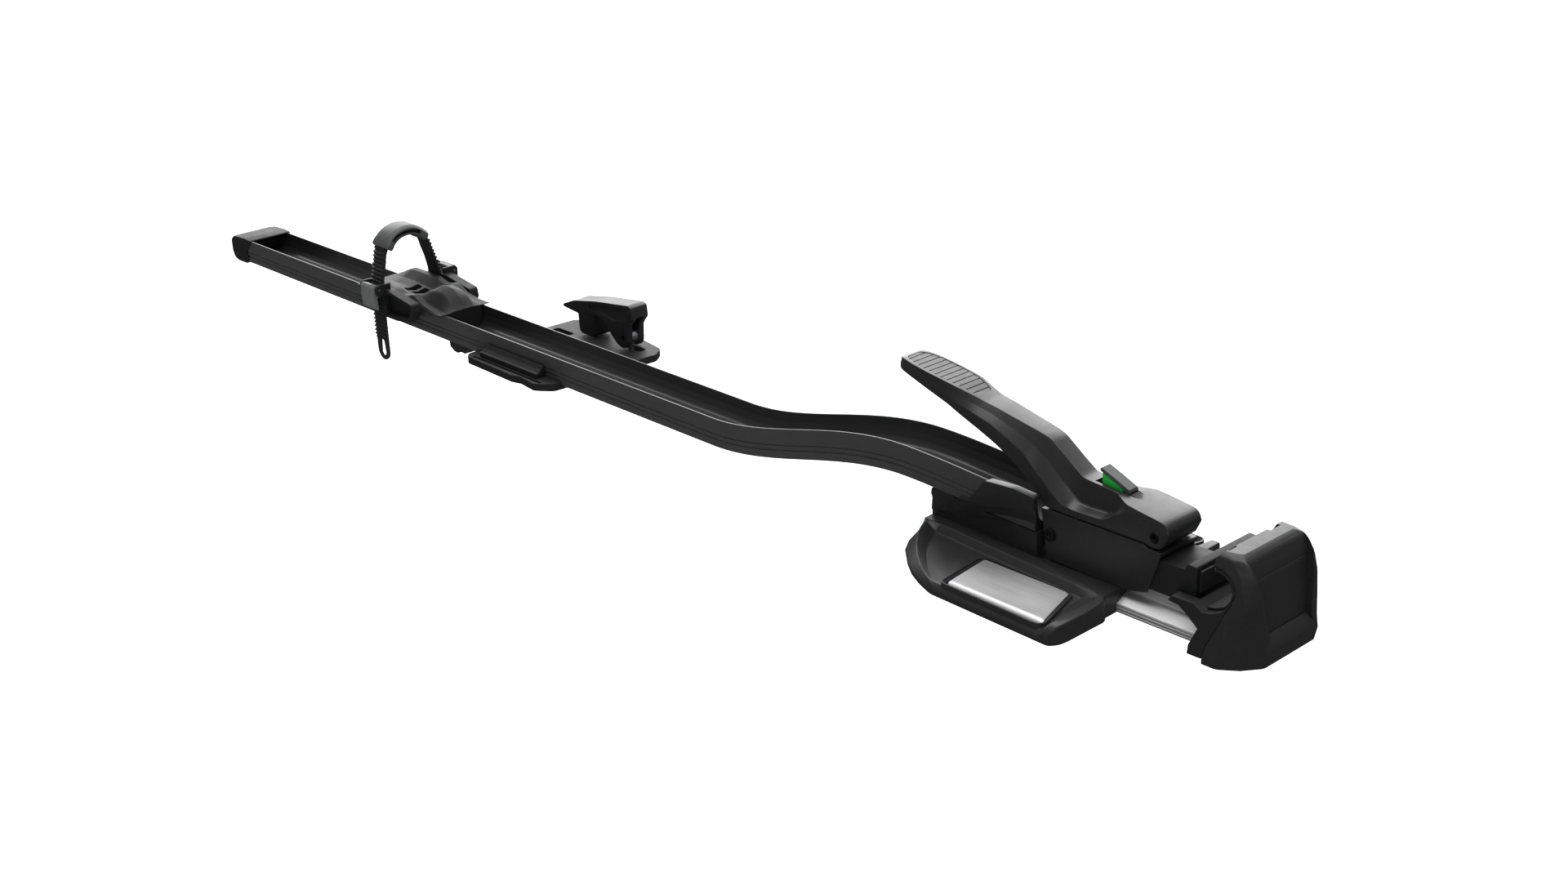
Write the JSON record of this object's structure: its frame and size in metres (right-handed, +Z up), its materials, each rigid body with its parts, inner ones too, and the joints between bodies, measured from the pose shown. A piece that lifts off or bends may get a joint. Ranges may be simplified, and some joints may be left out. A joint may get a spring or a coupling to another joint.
{
  "type": "roof bicycle carrier",
  "caption": "Fork-mount roof carrier: long wheel tray with strap cradle, rear bar clamp with cam lever, front foot with hand lever, sliding jaw and fork head.",
  "frame": {"origin": "centre of the front foot's flat seat on the roof bar, on the rail's underside", "axes": "+X forward along the tray to the fork head, +Y to the far side across the carrier, +Z up from the roof bar"},
  "size_m": [1.4285, 0.2124, 0.1726],
  "materials": {
    "moulded_black": "satin near-black moulded plastic",
    "anodised_black": "black anodised channel, satin",
    "soft_black": "matt black rubber",
    "strap_black": "matt black toothed strap",
    "pad_grey": "dark grey soft moulding",
    "lever_grey": "mid grey satin plastic",
    "flag_green": "bright green plastic",
    "satin_metal": "satin silver metal",
    "steel": "zinc-plated steel"
  },
  "bodies": {
    "carrier": {"slide_rail": "satin_metal", "track_bolt_rear": "steel", "track_bolt_front": "steel", "track_nut_rear": "steel", "track_nut_front": "steel", "front_foot": "moulded_black", "near_wear_plate": "satin_metal", "far_wear_plate": "satin_metal", "housing_near": "moulded_black", "housing_far": "moulded_black", "housing_screw_near": "steel", "housing_screw_far": "steel", "tray_collar_near": "moulded_black", "tray_collar_far": "moulded_black", "wheel_tray": "anodised_black", "tray_end_cap": "moulded_black", "tray_cap_screw": "steel", "tray_rest_foot": "soft_black", "head_core": "moulded_black", "axle_seat_liner": "soft_black", "head_shell": "moulded_black", "head_face_panel": "moulded_black", "head_bolt_near": "steel", "head_bolt_far": "steel"},
    "lever": {"front_lever": "moulded_black", "lever_grip_pad": "soft_black", "lever_pivot_pin": "steel", "indicator_pin": "steel"},
    "indicator": {"indicator_flap": "pad_grey", "indicator_flag": "flag_green"},
    "jaw": {"axle_jaw": "moulded_black", "jaw_liner": "soft_black", "draw_rod": "steel"},
    "rear_clamp": {"rear_clamp_plate": "moulded_black", "rear_bar_pad": "soft_black", "rear_clip_near": "moulded_black", "rear_clip_far": "moulded_black"},
    "cam_bolt": {"rear_eye_bolt": "steel", "rear_cam_pin": "steel"},
    "cam": {"rear_cam_lever": "moulded_black"},
    "cradle": {"wheel_cradle": "moulded_black", "wheel_strap": "strap_black", "near_buckle_housing": "moulded_black", "far_buckle_housing": "moulded_black", "near_buckle_pin": "steel", "far_buckle_pin": "steel"},
    "pad": {"rim_pad": "pad_grey"},
    "near_release": {"near_release_lever": "lever_grey"},
    "far_release": {"far_release_lever": "lever_grey"}
  },
  "joints": [
    {"name": "lever_hinge", "type": "hinge", "parent": "carrier", "child": "lever", "pos_m": [0.1055, 0, 0.065], "axis": [0, 1, 0], "range_deg": [0, 65]},
    {"name": "indicator_hinge", "type": "hinge", "parent": "lever", "child": "indicator", "pos_m": [0.069, 0, 0.082], "axis": [0, 1, 0], "range_deg": [-12, 0], "stiffness_Nm_per_rad": 0.02, "springref_deg": 2.86},
    {"name": "jaw_slide", "type": "slide", "parent": "carrier", "child": "jaw", "axis": [1, 0, 0], "range_m": [-0.0121, 0.0001]},
    {"name": "rear_clamp_slide", "type": "slide", "parent": "carrier", "child": "rear_clamp", "axis": [1, 0, 0], "range_m": [-0.02, 0.18]},
    {"name": "cam_bolt_slide", "type": "slide", "parent": "rear_clamp", "child": "cam_bolt", "axis": [0, 0, 1], "range_m": [-0.0021, 0.0001]},
    {"name": "cam_hinge", "type": "hinge", "parent": "cam_bolt", "child": "cam", "pos_m": [-0.616, 0.084, 0.019], "axis": [0, 1, 0], "range_deg": [0, 70]},
    {"name": "cradle_slide", "type": "slide", "parent": "carrier", "child": "cradle", "axis": [1, 0, 0], "range_m": [-0.2, 0.05]},
    {"name": "rim_pad_roll", "type": "hinge", "parent": "cradle", "child": "pad", "pos_m": [-0.88, -0.0045, 0.0685], "axis": [1, 0, 0], "range_deg": [-12, 12]},
    {"name": "near_release", "type": "hinge", "parent": "cradle", "child": "near_release", "pos_m": [-0.88, -0.0465, 0.0435], "axis": [-1, 0, 0], "range_deg": [0, 35], "stiffness_Nm_per_rad": 0.05, "springref_deg": -5.73},
    {"name": "far_release", "type": "hinge", "parent": "cradle", "child": "far_release", "pos_m": [-0.88, 0.0465, 0.0435], "axis": [1, 0, 0], "range_deg": [0, 35], "stiffness_Nm_per_rad": 0.05, "springref_deg": -5.73}
  ],
  "couplings": [
    {"joint": "jaw_slide", "follows": "lever_hinge", "m_per_rad": -0.01058},
    {"joint": "cam_bolt_slide", "follows": "cam_hinge", "m_per_rad": -0.00163}
  ]
}
